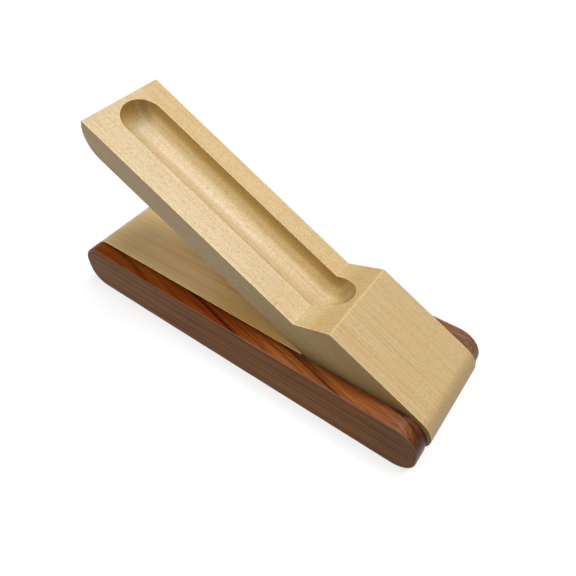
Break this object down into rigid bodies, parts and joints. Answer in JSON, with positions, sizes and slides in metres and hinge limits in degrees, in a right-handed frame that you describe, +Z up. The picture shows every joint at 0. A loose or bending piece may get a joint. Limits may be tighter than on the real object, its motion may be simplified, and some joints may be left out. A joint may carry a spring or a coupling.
{
  "type": "pick holder",
  "caption": "Slim wooden pick holder with dark rails and a pale cover plate. A pale arm with a round-ended trough turns on a hidden pin and, closed, nests flush under the plate.",
  "frame": {"origin": "middle of the rails' underside, on the surface that the holder lies on", "axes": "+X along the rails towards the pivot pin, +Y to the rear rail, +Z up"},
  "size_m": [0.105, 0.0318, 0.0543],
  "materials": {
    "maple": "finely sanded pale maple with a satin oil finish",
    "rosewood": "finely sanded red-brown rosewood with dark streaks, satin oil finish",
    "steel": "plain ground rod"
  },
  "bodies": {
    "body": {"front_rail": "rosewood", "rear_rail": "rosewood", "cover_plate": "maple", "pivot_pin": "steel"},
    "arm": {"tray_arm": "maple"}
  },
  "joints": [
    {"name": "arm_pivot", "type": "hinge", "parent": "body", "child": "arm", "pos_m": [0.0479, 0, 0.0071], "axis": [0, 1, 0], "range_deg": [0, 331]}
  ]
}
